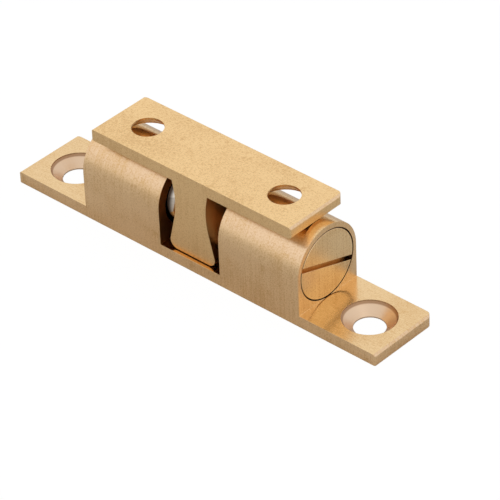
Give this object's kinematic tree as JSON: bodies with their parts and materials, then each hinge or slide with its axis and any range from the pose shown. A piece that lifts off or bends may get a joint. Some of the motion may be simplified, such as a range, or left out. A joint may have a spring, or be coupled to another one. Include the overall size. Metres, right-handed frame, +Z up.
{
  "type": "double ball catch",
  "caption": "Cabinet door catch: a strike plate with a flared tongue is held in a slotted housing between two spring-loaded balls with adjusting screws.",
  "frame": {"origin": "centre of the housing's underside, at its length and width", "axes": "+X along the housing, towards the end in front in the picture; +Y across it; +Z up, the way the strike plate leaves"},
  "size_m": [0.066, 0.0116, 0.0151],
  "materials": {
    "brass": "satin, brushed along the front",
    "strike_brass": "satin",
    "screw_brass": "satin, turned",
    "ball_steel": "polished",
    "spring_steel": "drawn wire"
  },
  "bodies": {
    "housing": {"housing": "brass"},
    "strike": {"strike_plate": "strike_brass"},
    "left_ball": {"left_ball": "ball_steel"},
    "right_ball": {"right_ball": "ball_steel"},
    "left_spring": {"left_spring": "spring_steel"},
    "right_spring": {"right_spring": "spring_steel"},
    "left_screw": {"left_adjusting_screw": "screw_brass"},
    "right_screw": {"right_adjusting_screw": "screw_brass"}
  },
  "joints": [
    {"name": "strike_lift", "type": "slide", "parent": "housing", "child": "strike", "axis": [0, 0, 1], "range_m": [0, 0.0115]},
    {"name": "left_ball_retreat", "type": "slide", "parent": "housing", "child": "left_ball", "axis": [-1, 0, 0], "range_m": [0, 0.0026], "stiffness_N_per_m": 300, "springref_m": -0.001, "deforming": ["left_spring"]},
    {"name": "right_ball_retreat", "type": "slide", "parent": "housing", "child": "right_ball", "axis": [1, 0, 0], "range_m": [0, 0.0026], "stiffness_N_per_m": 300, "springref_m": -0.001, "deforming": ["right_spring"]},
    {"name": "left_screw_turn", "type": "hinge", "parent": "housing", "child": "left_spring", "pos_m": [-0.0198, 0, 0.0071], "axis": [1, 0, 0], "range_deg": [0, 360]},
    {"name": "right_screw_turn", "type": "hinge", "parent": "housing", "child": "right_spring", "pos_m": [0.0198, 0, 0.0071], "axis": [-1, 0, 0], "range_deg": [0, 360]},
    {"name": "left_screw_advance", "type": "slide", "parent": "left_spring", "child": "left_screw", "axis": [1, 0, 0], "range_m": [0, 0.001], "deforming": ["left_spring"]},
    {"name": "right_screw_advance", "type": "slide", "parent": "right_spring", "child": "right_screw", "axis": [-1, 0, 0], "range_m": [0, 0.001], "deforming": ["right_spring"]}
  ],
  "couplings": [
    {"joint": "left_ball_retreat", "follows": "strike_lift", "ratio": 0.22},
    {"joint": "right_ball_retreat", "follows": "strike_lift", "ratio": 0.22},
    {"joint": "left_screw_turn", "follows": "left_screw_advance", "rad_per_m": 6283.2},
    {"joint": "right_screw_turn", "follows": "right_screw_advance", "rad_per_m": 6283.2}
  ]
}
